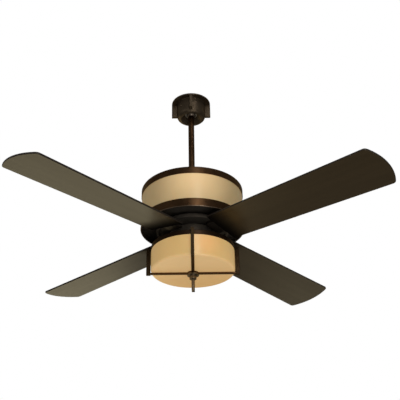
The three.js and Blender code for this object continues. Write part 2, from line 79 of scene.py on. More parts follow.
def make_world():
    """Pure white where the camera sees past the fan, and a dimmer soft light on the fan itself."""
    world = bpy.data.worlds.new("studio")
    scene.world = world
    world.use_nodes = True
    nodes = world.node_tree.nodes
    links = world.node_tree.links
    nodes.clear()
    seen = nodes.new("ShaderNodeBackground")
    seen.inputs["Color"].default_value = (1, 1, 1, 1)
    seen.inputs["Strength"].default_value = 1.0
    lighting = nodes.new("ShaderNodeBackground")
    lighting.inputs["Color"].default_value = (1.0, 0.955, 0.85, 1)
    lighting.inputs["Strength"].default_value = 0.17
    path = nodes.new("ShaderNodeLightPath")
    mix = nodes.new("ShaderNodeMixShader")
    output = nodes.new("ShaderNodeOutputWorld")
    links.new(path.outputs["Is Camera Ray"], mix.inputs["Fac"])
    links.new(lighting.outputs[0], mix.inputs[1])
    links.new(seen.outputs[0], mix.inputs[2])
    links.new(mix.outputs[0], output.inputs["Surface"])
    scene.view_settings.view_transform = "Standard"


def make_light(name, place, target, size, energy, color):
    """A rectangular soft light of so many watts, facing a target."""
    data = bpy.data.lights.new(name, "AREA")
    data.shape = "RECTANGLE"
    data.size, data.size_y = size
    data.energy = energy
    data.color = color
    light = bpy.data.objects.new(name, data)
    scene.collection.objects.link(light)
    aim = Vector(target) - Vector(place)
    light.matrix_world = Matrix.Translation(place) @ aim.to_track_quat("-Z", "Y").to_matrix().to_4x4()


def make_floor():
    """A pale matt floor. Its glow is only for the camera, so that it stays pale without lighting the fan."""
    data = bpy.data.meshes.new("floor")
    half, depth = 9.0, -2.7
    data.from_pydata(
        [(-half, -half, depth), (half, -half, depth), (half, half, depth), (-half, half, depth)],
        [], [(0, 1, 2, 3)],
    )
    floor = bpy.data.objects.new("floor", data)
    scene.collection.objects.link(floor)
    material = bpy.data.materials.new("floor_paint")
    material.use_nodes = True
    tree = material.node_tree
    shader = tree.nodes["Principled BSDF"]
    shader.inputs["Base Color"].default_value = (0.42, 0.41, 0.40, 1)
    shader.inputs["Roughness"].default_value = 0.8
    shader.inputs["Emission Color"].default_value = (0.60, 0.59, 0.57, 1)
    path = tree.nodes.new("ShaderNodeLightPath")
    tree.links.new(path.outputs["Is Camera Ray"], shader.inputs["Emission Strength"])
    data.materials.append(material)


make_camera()
make_world()
make_floor()
fan_middle = (0.0, 0.0, -0.5)
make_light("key", (0.5, -2.6, 0.1), fan_middle, (0.6, 1.4), 19, (1.0, 0.93, 0.82))
make_light("fill", (-2.6, -1.8, -0.4), fan_middle, (1.8, 1.8), 7, (1.0, 0.94, 0.84))
make_light("under", (0.6, -1.5, -1.8), fan_middle, (1.2, 1.0), 15, (1.0, 0.94, 0.82))
make_light("top", (0.3, 0.9, 2.4), fan_middle, (2.4, 2.4), 16, (1.0, 0.97, 0.92))
make_light("crown", (0.45, -0.86, 0.72), (0, 0, -0.03), (0.3, 0.2), 1.0, (1.0, 0.90, 0.82))
make_light("back_glow", (-1.7, 3.2, -1.4), fan_middle, (3.2, 1.8), 17, (1.0, 0.90, 0.60))
make_light("right_glow", (1.05, 2.35, -1.85), fan_middle, (0.8, 0.6), 1.7, (1.0, 0.90, 0.64))
make_light("low_glow", (-0.5, 1.3, -2.4), fan_middle, (0.7, 0.6), 3.5, (1.0, 0.84, 0.56))


# ---------------------------------------------------------------- materials

class Look:
    """A material with its Principled shader and a few node shortcuts."""

    def __init__(self, name):
        self.material = bpy.data.materials.new(name)
        self.material.use_nodes = True
        self.tree = self.material.node_tree
        self.shader = self.tree.nodes["Principled BSDF"]
        self.coordinates = self.node("ShaderNodeTexCoord").outputs["Object"]

    def node(self, kind):
        return self.tree.nodes.new(kind)

    def link(self, output, socket):
        self.tree.links.new(output, socket)

    def set(self, **values):
        """Sets inputs of the shader by name, with an underscore for each space."""
        for name, value in values.items():
            self.shader.inputs[name.replace("_", " ")].default_value = value

    def stretched(self, scale):
        """The piece's own coordinates, scaled along each axis."""
        mapping = self.node("ShaderNodeMapping")
        mapping.inputs["Scale"].default_value = scale
        self.link(self.coordinates, mapping.inputs["Vector"])
        return mapping.outputs["Vector"]

    def noise(self, scale, detail=4.0, roughness=0.5, vector=None, distortion=0.0):
        noise = self.node("ShaderNodeTexNoise")
        noise.inputs["Scale"].default_value = scale
        noise.inputs["Detail"].default_value = detail
        noise.inputs["Roughness"].default_value = roughness
        noise.inputs["Distortion"].default_value = distortion
        self.link(vector or self.coordinates, noise.inputs["Vector"])
        return noise.outputs["Fac"]

    def ramp(self, value, *stops):
        """A colour ramp from (position, colour) stops."""
        ramp = self.node("ShaderNodeValToRGB")
        elements = ramp.color_ramp.elements
        while len(elements) < len(stops):
            elements.new(0.5)
        for element, (position, color) in zip(elements, stops):
            element.position = position
            element.color = (*color, 1)
        self.link(value, ramp.inputs["Fac"])
        return ramp.outputs["Color"]

    def span(self, value, low, high):
        """value, from 0.3 to 0.7, stretched onto low to high."""
        remap = self.node("ShaderNodeMapRange")
        remap.inputs["From Min"].default_value = 0.3
        remap.inputs["From Max"].default_value = 0.7
        remap.inputs["To Min"].default_value = low
        remap.inputs["To Max"].default_value = high
        self.link(value, remap.inputs["Value"])
        return remap.outputs["Result"]

    def mix(self, factor, first, second, blend="MIX"):
        mix = self.node("ShaderNodeMix")
        mix.data_type = "RGBA"
        mix.blend_type = blend
        for value, socket in ((factor, mix.inputs[0]), (first, mix.inputs[6]), (second, mix.inputs[7])):
            if isinstance(value, bpy.types.NodeSocket):
                self.link(value, socket)
            else:
                socket.default_value = value if isinstance(value, float) else (*value, 1)
        return mix.outputs[2]

    def along(self, axis, start, end):
        """0 at one place along an axis and 1 at the other, with a smooth step between."""
        parts = self.node("ShaderNodeSeparateXYZ")
        self.link(self.coordinates, parts.inputs[0])
        remap = self.node("ShaderNodeMapRange")
        remap.interpolation_type = "SMOOTHSTEP"
        remap.inputs["From Min"].default_value = start
        remap.inputs["From Max"].default_value = end
        self.link(parts.outputs[axis], remap.inputs["Value"])
        return remap.outputs["Result"]

    def nearness(self, places, reach):
        """1 at any of the places, falling smoothly to 0 at that reach from all of them."""
        total = None
        for place in places:
            distance = self.node("ShaderNodeVectorMath")
            distance.operation = "DISTANCE"
            self.link(self.coordinates, distance.inputs[0])
            distance.inputs[1].default_value = place
            fall = self.node("ShaderNodeMapRange")
            fall.interpolation_type = "SMOOTHSTEP"
            fall.inputs["From Min"].default_value = reach
            fall.inputs["From Max"].default_value = 0.0
            self.link(distance.outputs["Value"], fall.inputs["Value"])
            if total is None:
                total = fall.outputs["Result"]
                continue
            most = self.node("ShaderNodeMath")
            most.operation = "MAXIMUM"
            self.link(total, most.inputs[0])
            self.link(fall.outputs["Result"], most.inputs[1])
            total = most.outputs[0]
        return total

    def bump(self, height, strength, distance):
        bump = self.node("ShaderNodeBump")
        bump.inputs["Strength"].default_value = strength
        bump.inputs["Distance"].default_value = distance
        self.link(height, bump.inputs["Height"])
        self.link(bump.outputs["Normal"], self.shader.inputs["Normal"])

    def edges(self, radius):
        """1 along convex edges of that radius, 0 on the faces."""
        bevel = self.node("ShaderNodeBevel")
        bevel.samples = 12
        bevel.inputs["Radius"].default_value = radius
        geometry = self.node("ShaderNodeNewGeometry")
        dot = self.node("ShaderNodeVectorMath")
        dot.operation = "DOT_PRODUCT"
        self.link(bevel.outputs["Normal"], dot.inputs[0])
        self.link(geometry.outputs["Normal"], dot.inputs[1])
        remap = self.node("ShaderNodeMapRange")
        remap.inputs["From Min"].default_value = 0.98
        remap.inputs["From Max"].default_value = 0.8
        self.link(dot.outputs["Value"], remap.inputs["Value"])
        return remap.outputs["Result"]


def bronze(name, dark, light, roughness, metallic=0.9):
    """Oil-rubbed bronze: dark brown, warmer where hands and cloth have thinned it along the edges."""
    edge_radius, edge_tone, edge_share = 1.2 * MM, (0.26, 0.15, 0.075), 0.3
    look = Look(name)
    cloud = look.noise(14.0, 6.0, 0.6)
    body = look.ramp(cloud, (0.3, dark), (0.7, light))
    worn = look.mix(look.edges(edge_radius), body, edge_tone)
    color = look.mix(edge_share, body, worn)
    look.link(color, look.shader.inputs["Base Color"])
    look.link(look.span(look.noise(60.0, 5.0), roughness - 0.06, roughness + 0.08),
              look.shader.inputs["Roughness"])
    look.bump(look.noise(300.0, 3.0), 0.03, 0.2 * MM)
    look.set(Metallic=metallic, Specular_Tint=(1.0, 0.80, 0.58, 1))
    return look.material


def wood():
    """Dark walnut veneer under a thin satin lacquer, with the grain along the blade. Toward the hub a painted
    shade fades it to a dull, nearly black tone and takes its reflection away."""
    shade_start, shade_end = 0.125, 0.20
    root_shade_tone, root_roughness = (0.006, 0.005, 0.004), 0.9
    look = Look("blade_wood")
    along = look.stretched((1.6, 26.0, 26.0))
    figure = look.noise(1.0, 5.0, 0.55, along, 0.5)
    pores = look.noise(1.0, 3.0, 0.6, look.stretched((26.0, 640.0, 640.0)))
    body = look.ramp(
        figure,
        (0.30, (0.024, 0.015, 0.007)),
        (0.50, (0.030, 0.0195, 0.0095)),
        (0.70, (0.036, 0.0245, 0.0125)),
    )
    dark = look.ramp(pores, (0.34, (0.84, 0.82, 0.80)), (0.52, (1.0, 1.0, 1.0)))
    grain = look.mix(1.0, body, dark, "MULTIPLY")
    # Painted shade near the hub: toward the root the colour goes nearly black, the surface rough and the
    # reflection off.
    out = look.along("X", shade_start, shade_end)
    sheen = look.mix(out, (root_roughness,) * 3, look.span(figure, 0.385, 0.355))
    gloss = look.ramp(out, (0.0, (0.0, 0.0, 0.0)), (1.0, (0.5, 0.5, 0.5)))
    look.link(look.mix(out, root_shade_tone, grain), look.shader.inputs["Base Color"])
    look.link(sheen, look.shader.inputs["Roughness"])
    look.link(gloss, look.shader.inputs["Specular IOR Level"])
    look.bump(pores, 0.03, 0.1 * MM)
    look.set(Specular_Tint=(1.0, 0.88, 0.60, 1))
    return look.material


def edge_paint():
    """The sealed, nearly black edge of a blade."""
    look = Look("blade_edge")
    grain = look.noise(1.0, 4.0, 0.6, look.stretched((8.0, 90.0, 500.0)))
    look.link(look.ramp(grain, (0.3, (0.007, 0.005, 0.004)), (0.7, (0.018, 0.012, 0.008))),
              look.shader.inputs["Base Color"])
    look.link(look.span(grain, 0.4, 0.6), look.shader.inputs["Roughness"])
    return look.material


def glass(name, body, lit, spot, spots, reach, floor_glows=None, floor_z=None):
    """Frosted cream-to-amber glass lit from inside, with the lamps' light painted into it as a glow. The
    wall's glow is lit, and turns to spot within reach of each of its bright spots. A bowl's floor, the glass
    below floor_z, glows in two painted tones of light, front and back."""
    look = Look(name)
    cloud = look.noise(9.0, 5.0, 0.55, distortion=0.6)
    tone = look.ramp(
        cloud,
        (0.30, tuple(0.93 * c for c in body)),
        (0.50, body),
        (0.72, tuple(min(1.0, 1.06 * c) for c in body)),
    )
    glow = look.mix(look.nearness(spots, reach), lit, spot)
    if floor_glows:
        blend_above, blend_below, half_depth = 6 * MM, 3 * MM, 0.11
        low = look.along("Z", floor_z + blend_above, floor_z - blend_below)
        floor = look.mix(look.along("Y", -half_depth, half_depth), *floor_glows)
        glow = look.mix(low, glow, floor)
    look.link(tone, look.shader.inputs["Base Color"])
    look.link(glow, look.shader.inputs["Emission Color"])
    look.link(look.span(look.noise(40.0, 4.0), 0.30, 0.42), look.shader.inputs["Roughness"])
    look.bump(look.noise(260.0, 4.0), 0.05, 0.2 * MM)
    look.set(Coat_Weight=0.15, Coat_Roughness=0.25, Emission_Strength=1.0)
    look.set(Subsurface_Weight=0.25, Subsurface_Scale=4 * MM)
    return look.material


def metal(name, dark, light, roughness, metallic=1.0, scale=30.0, fine=700.0):
    """Bare metal: two close tones in clouds of one scale and a fine grain of another."""
    look = Look(name)
    cloud = look.noise(scale, 5.0, 0.6)
    look.link(look.ramp(cloud, (0.3, dark), (0.7, light)), look.shader.inputs["Base Color"])
    look.link(look.span(look.noise(2.3 * scale, 4.0), roughness - 0.07, roughness + 0.09),
              look.shader.inputs["Roughness"])
    look.bump(look.noise(fine, 3.0), 0.1, 0.2 * MM)
    look.set(Metallic=metallic)
    return look.material


def coil_wire():
    """Enamelled copper, with the turns as fine ridges."""
    look = Look("copper_wire")
    turns = look.node("ShaderNodeTexWave")
    turns.inputs["Scale"].default_value = 260.0
    turns.inputs["Distortion"].default_value = 1.5
    look.link(look.coordinates, turns.inputs["Vector"])
    look.link(look.ramp(turns.outputs["Fac"], (0.2, (0.20, 0.055, 0.018)), (0.8, (0.52, 0.18, 0.06))),
              look.shader.inputs["Base Color"])
    look.bump(turns.outputs["Fac"], 0.4, 0.4 * MM)
    look.set(Metallic=0.9, Roughness=0.35)
    return look.material


def plain(name, dark, light, roughness, coat=0.0):
    """A plastic or ceramic: two close tones and a fine orange-peel surface."""
    look = Look(name)
    look.link(look.ramp(look.noise(25.0, 4.0), (0.3, dark), (0.7, light)), look.shader.inputs["Base Color"])
    look.link(look.span(look.noise(80.0, 3.0), roughness - 0.05, roughness + 0.07),
              look.shader.inputs["Roughness"])
    look.bump(look.noise(500.0, 2.0), 0.06, 0.2 * MM)
    look.set(Coat_Weight=coat, Coat_Roughness=0.1)
    return look.material


def bulb():
    """Frosted lamp glass that glows a little warmer where it is darker."""
    look = Look("bulb_glass")
    cloud = look.noise(40.0, 3.0)
    tone = look.ramp(cloud, (0.3, (0.92, 0.80, 0.60)), (0.7, (1.0, 0.90, 0.72)))
    look.link(tone, look.shader.inputs["Base Color"])
    look.link(tone, look.shader.inputs["Emission Color"])
    look.link(look.span(cloud, 0.2, 0.3), look.shader.inputs["Roughness"])
    look.set(Emission_Strength=1.5, Coat_Weight=0.5)
    return look.material


def round_axis(radius, height, *angles):
    """Places on a circle round the fan's axis."""
    return [(radius * math.cos(math.radians(a)), radius * math.sin(math.radians(a)), height) for a in angles]


# The painted bright spots on the two glass walls, one for each lamp inside and near that lamp's angle.
UPPER_SPOTS = round_axis(0.170, -0.400, 272, 32, 152)
LOWER_SPOTS = round_axis(0.137, -0.622, -71, 109)

UPPER_GLASS = glass(
    "upper_glass_cream", (0.42, 0.33, 0.195), (0.155, 0.108, 0.048), (0.50, 0.335, 0.165), UPPER_SPOTS, 0.15,
)
LOWER_GLASS = glass(
    "lower_glass_amber", (0.44, 0.31, 0.14), (0.345, 0.222, 0.086), (0.47, 0.245, 0.092), LOWER_SPOTS, 0.075,
    floor_glows=((0.43, 0.282, 0.137), (0.385, 0.222, 0.084)), floor_z=-0.668,
)
WOOD = wood()
EDGE = edge_paint()
BRONZE = bronze("bronze", (0.050, 0.027, 0.014), (0.095, 0.052, 0.026), 0.31)
DARK_BRONZE = bronze("shaded_bronze", (0.052, 0.048, 0.045), (0.085, 0.077, 0.070), 0.46, 0.35)
# A darker copy of the bronze: painted shade on the fitter pan.
PAN_SHADE_BRONZE = bronze("pan_bronze_painted_shade", (0.022, 0.013, 0.009), (0.040, 0.024, 0.016), 0.46)
# A nearly black copy of the bronze: painted shade from the hub on the blade arms.
ARM_SHADE_BRONZE = bronze("arm_bronze_painted_shade", (0.014, 0.012, 0.010), (0.026, 0.022, 0.019), 0.5, 0.35)
# A darker copy of the bronze: painted shade on the cage's posts.
POST_SHADE_BRONZE = bronze("post_bronze_painted_shade", (0.026, 0.017, 0.009), (0.048, 0.031, 0.017), 0.46)
# A lighter, greyer copy of the bronze: painted light on the canopy, its fins and its screws.
CANOPY_LIT_BRONZE = bronze("canopy_bronze_painted_light", (0.080, 0.063, 0.046), (0.108, 0.086, 0.063), 0.46)
# A lighter copy of the bronze: painted highlight on the finial cup and the finial.
KNOB_LIT_BRONZE = bronze("knob_bronze_painted_highlight", (0.13, 0.105, 0.075), (0.19, 0.155, 0.118), 0.36)
# A bright copy of the bronze: painted highlight along the lower pan's lip.
LIP_HIGHLIGHT_BRONZE = bronze("lip_bronze_painted_highlight", (0.17, 0.13, 0.10), (0.26, 0.20, 0.15), 0.30)
# A light grey copy of the bronze: painted highlight on the hanger ball.
BALL_HIGHLIGHT_BRONZE = bronze("ball_bronze_painted_highlight", (0.15, 0.13, 0.115), (0.20, 0.175, 0.155), 0.46)
STEEL = metal("zinc_steel", (0.36, 0.36, 0.35), (0.50, 0.50, 0.48), 0.34)
CAST = metal("cast_alloy", (0.28, 0.28, 0.27), (0.42, 0.42, 0.40), 0.52, 0.9, 60.0, 1400.0)
CORE = metal("core_steel", (0.09, 0.095, 0.10), (0.16, 0.17, 0.18), 0.42)
COPPER = coil_wire()
CERAMIC = plain("socket_ceramic", (0.74, 0.71, 0.64), (0.84, 0.82, 0.76), 0.25, 0.5)
PLASTIC = plain("black_plastic", (0.010, 0.010, 0.010), (0.020, 0.019, 0.018), 0.42)
BULB = bulb()

SLOT_LOOKS = {
    "bronze_metal": BRONZE, "blade_wood": WOOD, "amber_glass": UPPER_GLASS, "zinc_steel": STEEL,
    "cast_alloy": CAST, "core_steel": CORE, "copper_wire": COPPER, "socket_ceramic": CERAMIC,
    "bulb_glass": BULB, "black_plastic": PLASTIC,
}


def paint_cad_nodes():
    """Every CAD node gets its slot's material; the nodes with a finer piece are hidden later."""
    slots = {part["node"]: part["material_slot"] for part in frame["record"]["subparts"]}
    for name, node in frame["nodes"].items():
        look = LOWER_GLASS if name == "lower_glass" else SLOT_LOOKS[slots[name]]
        node.data.materials.clear()
        node.data.materials.append(look)


paint_cad_nodes()


# ---------------------------------------------------------------- mesh tools

def finish_piece(name, mesh, body, material, stands_for=(), matrix=None):
    """Makes the object, smooths it, hangs it on its body and hides the CAD nodes that it stands for."""
    data = bpy.data.meshes.new(name)
    bmesh.ops.recalc_face_normals(mesh, faces=mesh.faces)
    mesh.to_mesh(data)
    mesh.free()
    data.materials.append(material)
    data.shade_smooth()
    data.set_sharp_from_angle(angle=math.radians(34))
    piece = bpy.data.objects.new(name, data)
    scene.collection.objects.link(piece)
    if matrix is not None:
        piece.matrix_world = matrix
    weighted = piece.modifiers.new("weighted", "WEIGHTED_NORMAL")
    weighted.keep_sharp = True
    weighted.weight = 100
    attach(piece, body)
    if stands_for:
        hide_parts(*stands_for)
    return piece


def rounded(corners, steps=4):
    """A path from (x, y, fillet) corners, each corner rounded; the path closes on itself."""
    path = []
    count = len(corners)
    for i, (x, y, fillet) in enumerate(corners):
        here = Vector((x, y))
        if fillet <= 0:
            path.append(here)
            continue
        back = Vector(corners[i - 1][:2]) - here
        on = Vector(corners[(i + 1) % count][:2]) - here
        reach = min(fillet, 0.45 * back.length, 0.45 * on.length)
        start, end = here + back.normalized() * reach, here + on.normalized() * reach
        path += [curve_point(start, here, end, step / steps) for step in range(steps + 1)]
    return path


def curve_point(start, corner, end, t):
    """A point on the curve that rounds a corner, from its start at t = 0 to its end at t = 1."""
    return start * (1 - t) ** 2 + corner * 2 * t * (1 - t) + end * t ** 2


def corner_arc(centre_radius, centre_z, radius, start, end, steps=14):
    """Corners along a round arc of a turned profile, from one angle to the other in degrees."""
    angles = [math.radians(start + (end - start) * k / steps) for k in range(steps + 1)]
    return [(centre_radius + radius * math.cos(a), centre_z + radius * math.sin(a), 0) for a in angles]


def turned_mesh(profile, sides, closed=True):
    """A turned solid from (radius, z) points in millimetres; an open profile starts and ends on the axis."""
    mesh = bmesh.new()
    rings = []
    for radius, z in profile:
        if radius < 1e-4:
            rings.append([mesh.verts.new((0, 0, z * MM))])
            continue
        rings.append([
            mesh.verts.new((radius * MM * math.cos(angle), radius * MM * math.sin(angle), z * MM))
            for angle in (math.tau * k / sides for k in range(sides))
        ])
    following = rings[1:] + rings[:1] if closed else rings[1:]
    for lower, upper in zip(rings, following):
        for k in range(sides):
            corners = [lower[k % len(lower)], lower[(k + 1) % sides % len(lower)],
                       upper[(k + 1) % sides % len(upper)], upper[k % len(upper)]]
            unique = list(dict.fromkeys(corners))
            if len(unique) > 2:
                mesh.faces.new(unique)
    return mesh


def turned_piece(name, corners, body, material, stands_for=(), sides=144, steps=4):
    """A ring or shell turned about Z from (radius, z, fillet) corners in millimetres."""
    mesh = turned_mesh(rounded(corners, steps), sides)
    return finish_piece(name, mesh, body, material, stands_for)


def solid_piece(name, corners, body, material, stands_for=(), sides=96, matrix=None):
    """A turned solid without a bore: the first and last corners lie on the axis and have no fillet."""
    mesh = turned_mesh(rounded(corners), sides, closed=False)
    return finish_piece(name, mesh, body, material, stands_for, matrix)


def prism_mesh(outline, bottom, top, bevel, steps=3):
    """An outline of points extruded along Z, in millimetres, with its two rims rounded."""
    mesh = bmesh.new()
    base = mesh.faces.new([mesh.verts.new((x * MM, y * MM, bottom * MM)) for x, y in outline])
    grown = bmesh.ops.extrude_face_region(mesh, geom=[base])["geom"]
    moved = [v for v in grown if isinstance(v, bmesh.types.BMVert)]
    bmesh.ops.translate(mesh, vec=(0, 0, (top - bottom) * MM), verts=moved)
    bmesh.ops.recalc_face_normals(mesh, faces=mesh.faces)
    rims = [e for e in mesh.edges if abs(e.verts[0].co.z - e.verts[1].co.z) < 1e-9]
    round_edges(mesh, rims, bevel, steps)
    return mesh


def bar_mesh(low, high, bevel, steps=3):
    """A box between two corners, in millimetres, with every edge rounded unless the bevel is 0."""
    mesh = bmesh.new()
    bmesh.ops.create_cube(mesh, size=1.0)
    low, high = Vector(low) * MM, Vector(high) * MM
    for vertex in mesh.verts:
        vertex.co = Vector(((high[i] - low[i]) * vertex.co[i] + (high[i] + low[i]) / 2 for i in range(3)))
    if bevel > 0:
        round_edges(mesh, list(mesh.edges), bevel, steps)
    return mesh


def round_edges(mesh, edges, bevel, steps=3):
    """Rounds the given edges of a mesh; the bevel is in millimetres."""
    bmesh.ops.bevel(
        mesh, geom=edges, offset=bevel * MM, segments=steps, profile=0.5, affect="EDGES", clamp_overlap=True,
    )


def add_mesh(mesh, other, matrix=None):
    """Adds another mesh's faces to a mesh."""
    data = bpy.data.meshes.new("part")
    other.to_mesh(data)
    other.free()
    if matrix is not None:
        data.transform(matrix)
    mesh.from_mesh(data)
    bpy.data.meshes.remove(data)


def turn_z(degrees):
    """A turn about the fan's axis."""
    return Matrix.Rotation(math.radians(degrees), 4, "Z")


def paint_faces(piece, material, belongs):
    """Gives a second material to the faces whose centre and normal, in metres, pass the test."""
    piece.data.materials.append(material)
    index = len(piece.data.materials) - 1
    for face in piece.data.polygons:
        if belongs(face.center, face.normal):
            face.material_index = index


def cut_box(piece, low, high):
    """Cuts a box between two corners, in millimetres, out of a piece that stands at the origin."""
    data = bpy.data.meshes.new("cutter")
    mesh = bar_mesh(low, high, 0.2)
    mesh.to_mesh(data)
    mesh.free()
    cutter = bpy.data.objects.new("cutter", data)
    scene.collection.objects.link(cutter)
    cut = piece.modifiers.new("cut", "BOOLEAN")
    cut.object = cutter
    cut.operation = "DIFFERENCE"
    cut.solver = "EXACT"
    smoothing = piece.modifiers["weighted"]
    smoothing.show_viewport = False
    ready = piece.evaluated_get(bpy.context.evaluated_depsgraph_get())
    result = bpy.data.meshes.new_from_object(ready)
    piece.modifiers.remove(cut)
    smoothing.show_viewport = True
    piece.data = result
    bpy.data.objects.remove(cutter)


def size_of(node):
    """A node's low and high corners at rest, in millimetres."""
    low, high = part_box(node)
    return low / MM, high / MM


# ---------------------------------------------------------------- ceiling side

# The four bodies, as the CAD frame names them.
HANGING, CEILING, ROTOR, SWITCH = "hanging_frame", "ceiling_mount", "rotor", "reversing_slide"
# The sides where the cage's posts and the canopy's fins stand, with their angles in degrees.
POSTS = (("right", 0), ("back", 90), ("left", 180), ("front", 270))
GLASS_THICKNESS = 3.5


def make_canopy():
    """A bowl with a flange at the ceiling, a floor that dishes up to a mouth round the ball, and four square
    fins under the flange."""
    low, high = size_of("canopy")
    flange, lip, top = high.x, low.z, high.z
    wall, sheet, rim = 51.5, 2.0, 5.0
    mouth, dish, bend = 21.0, 15.0, 15.0
    turn = wall - bend
    # The bowl and fins take the lighter bronze: painted light.
    turned_piece("canopy_shell", [
        (mouth, lip + dish, 0.8), (turn, lip, 14.0), *corner_arc(turn, lip + bend, bend, -84, 0),
        (wall, top - rim, 2.0), (flange, top - rim, 1.6), (flange, top, 0.8), (wall - sheet, top, 0.6),
        *corner_arc(turn, lip + bend, bend - sheet, 0, -84), (turn, lip + sheet, 5.0),
        (mouth, lip + dish + sheet, 0.8),
    ], CEILING, CANOPY_LIT_BRONZE, ["canopy"])
    half, sunk, fin_bottom, fin_top = 5.25, 1.3, top - 56.5, top - 3.0
    for side, angle in POSTS:
        fin = bar_mesh((wall - sunk, -half, fin_bottom), (flange, half, fin_top), 0.9)
        finish_piece(f"canopy_fin_{side}", fin, CEILING, CANOPY_LIT_BRONZE, matrix=turn_z(angle))


def make_canopy_screws():
    """Two screws that lie level through the bowl's wall, each with a socket in its head."""
    drop, inner_end, seat = 30.0, 35.0, 51.8
    shank, head, crown, socket = 2.0, 4.0, 2.6, 1.1
    face, floor = seat + 2.4, seat + 1.2
    for side, angle in (("left", 45), ("right", 225)):
        lay = turn_z(angle) @ Matrix.Translation((0, 0, -drop * MM)) @ Matrix.Rotation(math.pi / 2, 4, "Y")
        # The screws take the canopy's lighter bronze: painted light.
        solid_piece(f"canopy_screw_{side}_head", [
            (0, inner_end, 0), (shank, inner_end, 0.4), (shank, seat, 0), (head, seat, 0.3),
            (head, seat + 1, 0.9), (crown, face, 0.8), (socket, face, 0.1), (socket, floor, 0.1),
            (0, floor, 0),
        ], CEILING, CANOPY_LIT_BRONZE, [f"canopy_screw_{side}"], 48, lay)


def make_bracket():
    """The pressed steel bracket: the CAD shape with its edges rolled over."""
    node = frame["nodes"]["hanger_bracket"]
    mesh = bmesh.new()
    mesh.from_mesh(node.data)
    bmesh.ops.dissolve_limit(mesh, angle_limit=math.radians(2), verts=mesh.verts, edges=mesh.edges)
    sharp = [edge for edge in mesh.edges if edge.calc_face_angle(0) > math.radians(50)]
    round_edges(mesh, sharp, 0.5)
    finish_piece("hanger_bracket_fine", mesh, CEILING, STEEL, ["hanger_bracket"])


def make_ball():
    """The hanger ball, with its bore over the pipe."""
    low, high = size_of("hanger_ball")
    radius, centre, bore = high.x, (low.z + high.z) / 2, 11.0
    pole = math.degrees(math.acos(bore / radius))
    corners = corner_arc(0, centre, radius, -pole, pole, 32)
    # The ball's light grey bronze is a painted highlight.
    turned_piece("hanger_ball_fine", corners, HANGING, BALL_HIGHLIGHT_BRONZE, ["hanger_ball"], 96)


def make_downrod():
    """The pipe from the hanger ball down to the motor coupling, open at both ends for the cable."""
    low, high = size_of("downrod")
    outer, wall = high.x, 2.0
    bore = outer - wall
    turned_piece("downrod_pipe", [
        (bore, low.z, 0.2), (outer, low.z, 0.4), (outer, high.z, 0.4), (bore, high.z, 0.2),
    ], HANGING, BRONZE, ["downrod"], 72)


make_canopy()
make_canopy_screws()
make_bracket()
make_ball()
make_downrod()


# ---------------------------------------------------------------- drum

def make_coupling_cover():
    """A thin bell over the motor coupling: a short straight skirt and a dome that ends round the pipe."""
    low, high = size_of("coupling_cover")
    radius, mouth, sheet, skirt, steps = high.x, 12.15, 2.0, 5.7, 18
    shoulder, rise = low.z + skirt, high.z - low.z - skirt

    def dome(offset):
        angles = [math.pi / 2 * step / steps for step in range(steps + 1)]
        return [
            (mouth + (radius - mouth - offset) * math.cos(a), shoulder + (rise - offset) * math.sin(a), 0)
            for a in angles
        ]

    corners = [(radius, low.z, 0.4), *dome(0), *reversed(dome(sheet)), (radius - sheet, low.z, 0.4)]
    turned_piece("coupling_bell", corners, HANGING, BRONZE, ["coupling_cover"], 96)


def make_top_ring():
    """The drum's top ring: a thin skirt, and a flat rim over the top plate's edge."""
    low, high = size_of("top_ring")
    outer, wall, rim, gap = high.x, 2.0, 22.0, 0.3
    inner, inside = outer - rim, outer - wall
    under = size_of("top_plate")[1].z + gap
    turned_piece("top_ring_fine", [
        (inside, low.z, 0.5), (outer, low.z, 0.8), (outer, high.z, 2.2), (inner, high.z, 0.8),
        (inner, under, 0.5), (inside, under, 0.5),
    ], HANGING, BRONZE, ["top_ring"], 192)


def make_top_plate():
    """The drum's lid, pressed with two shallow beads that stiffen it."""
    low, high = size_of("top_plate")
    bore, outer, bead, half_width, slope = 18.0, high.x, 0.8, 5.0, 1.6
    face = high.z - bead
    beads = []
    for radius in (128.0, 76.0):
        beads += [
            (radius + half_width, face, 1.6), (radius + half_width - slope, high.z, 1.0),
            (radius - half_width + slope, high.z, 1.0), (radius - half_width, face, 1.6),
        ]
    turned_piece("top_plate_fine", [
        (bore, low.z, 0.3), (outer, low.z, 0.5), (outer, face, 0.5), *beads, (bore, face, 0.3),
    ], HANGING, CAST, ["top_plate"], 192)


def make_upper_glass():
    """The drum's glass band, open above and below."""
    low, high = size_of("upper_glass")
    outer, inner = high.x, high.x - GLASS_THICKNESS
    turned_piece("upper_glass_band", [
        (inner, low.z, 1.2), (outer, low.z, 1.2), (outer, high.z, 1.2), (inner, high.z, 1.2),
    ], HANGING, UPPER_GLASS, ["upper_glass"], 192)


